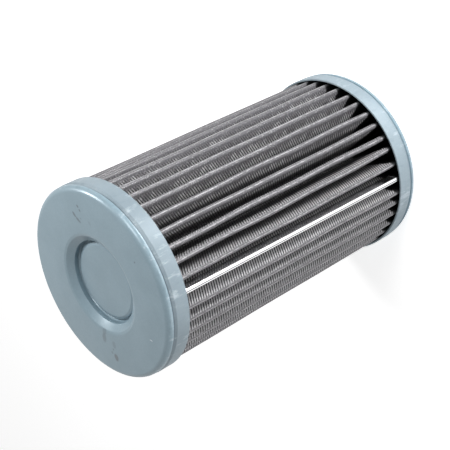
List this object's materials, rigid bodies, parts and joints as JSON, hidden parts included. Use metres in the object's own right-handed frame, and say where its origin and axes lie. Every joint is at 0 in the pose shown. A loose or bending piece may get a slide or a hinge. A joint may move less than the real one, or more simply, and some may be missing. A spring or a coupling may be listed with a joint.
{
  "type": "hydraulic filter",
  "caption": "Cylindrical return-line filter element: pleated wire cloth round a perforated core between two painted steel end caps, one closed and one with a sealed bore.",
  "frame": {"origin": "centre of the open cap's flat outer face, on the element's axis, where it stands", "axes": "+Z along the element's axis towards the closed cap; +X is a free choice, and the seam clip of the pleats stands 116.8 degrees from it towards -Y"},
  "size_m": [0.1, 0.1, 0.179],
  "materials": {
    "cap_paint": "semi-gloss blue-grey paint",
    "resin": "cast, glossy black",
    "rubber": "matt",
    "core_steel": "zinc plated",
    "coarse_cloth": "woven wire",
    "fine_cloth": "fine woven wire",
    "clip_steel": "bright strip"
  },
  "bodies": {
    "root": {"closed_end_cap": "cap_paint", "open_end_cap": "cap_paint", "closed_end_resin": "resin", "open_end_resin": "resin", "seal_ring": "rubber", "core_tube": "core_steel", "inner_support_mesh": "coarse_cloth", "filter_mesh": "fine_cloth", "outer_support_mesh": "coarse_cloth", "seam_clip": "clip_steel"}
  },
  "joints": []
}
